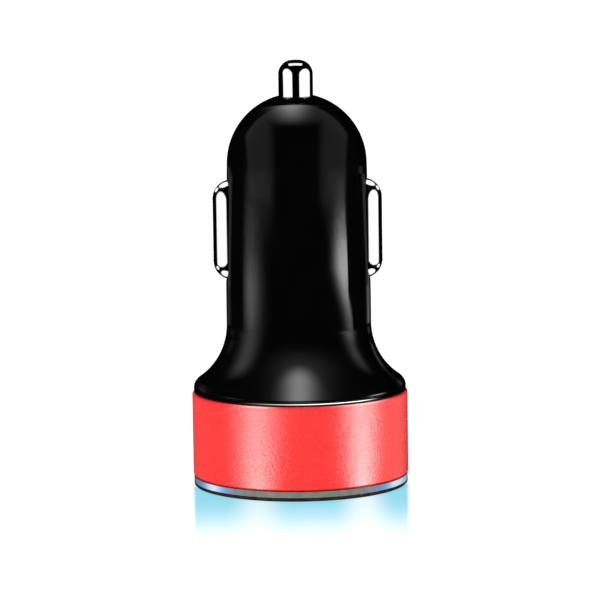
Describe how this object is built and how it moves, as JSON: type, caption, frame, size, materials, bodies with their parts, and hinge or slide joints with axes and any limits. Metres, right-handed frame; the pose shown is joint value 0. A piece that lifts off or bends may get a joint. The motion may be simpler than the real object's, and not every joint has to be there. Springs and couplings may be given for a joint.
{
  "type": "car usb charger plug",
  "caption": "Round-nosed plug for a 12 V car socket with a sprung centre pin, sprung side contacts, a flared base with a red metal ring, a clear light ring and USB ports in its face.",
  "frame": {"origin": "centre of the port face, which it stands on, at the bottom of the light ring", "axes": "+Z along the plug's axis from the port face to the centre contact, +X through the right side contact, +Y through the rear port"},
  "size_m": [0.03, 0.03, 0.059],
  "materials": {
    "black_plastic": "polished black",
    "red_anodised": "satin red anodised",
    "clear_plastic": "clear, polished",
    "face_plastic": "fine matt black",
    "contact_plate": "bright plated",
    "spring_steel": "drawn wire and strip",
    "contact_brass": "stamped brass",
    "board": "solder mask",
    "port_steel": "folded plated sheet",
    "port_plastic": "moulded white",
    "contact_gold": "gold flash",
    "lamp": "clear lamp body",
    "can_aluminium": "bare can",
    "ferrite": "moulded ferrite",
    "chip_black": "moulded epoxy",
    "fuse_body": "laminate",
    "ceramic": "ceramic"
  },
  "bodies": {
    "charger_body": {"housing": "black_plastic", "trim_ring": "red_anodised", "light_ring": "clear_plastic", "face_plate": "face_plastic", "tip_spring": "spring_steel", "tip_terminal": "contact_brass", "ground_leaf_left": "spring_steel", "ground_leaf_right": "spring_steel", "circuit_board": "board", "usb_shell_rear": "port_steel", "usb_shell_front": "port_steel", "usb_insulator_rear": "port_plastic", "usb_insulator_front": "port_plastic", "usb_contacts_rear": "contact_gold", "usb_contacts_front": "contact_gold", "led_board": "board", "indicator_leds": "lamp", "input_capacitor": "can_aluminium", "output_capacitor": "can_aluminium", "power_inductor": "ferrite", "buck_controller": "chip_black", "freewheel_diode": "chip_black", "input_fuse": "fuse_body", "chip_resistors": "chip_black", "chip_capacitors": "ceramic"},
    "tip": {"tip_contact": "contact_plate"},
    "left_contact": {"ground_contact_left": "contact_plate"},
    "right_contact": {"ground_contact_right": "contact_plate"}
  },
  "joints": [
    {"name": "tip_press", "type": "slide", "parent": "charger_body", "child": "tip", "axis": [0, 0, -1], "range_m": [0, 0.003], "stiffness_N_per_m": 400, "springref_m": -0.005, "deforming": ["tip_spring"]},
    {"name": "left_contact_press", "type": "slide", "parent": "charger_body", "child": "left_contact", "axis": [1, 0, 0], "range_m": [0, 0.0016], "stiffness_N_per_m": 600, "springref_m": -0.002, "deforming": ["ground_leaf_left"]},
    {"name": "right_contact_press", "type": "slide", "parent": "charger_body", "child": "right_contact", "axis": [-1, 0, 0], "range_m": [0, 0.0016], "stiffness_N_per_m": 600, "springref_m": -0.002, "deforming": ["ground_leaf_right"]}
  ]
}
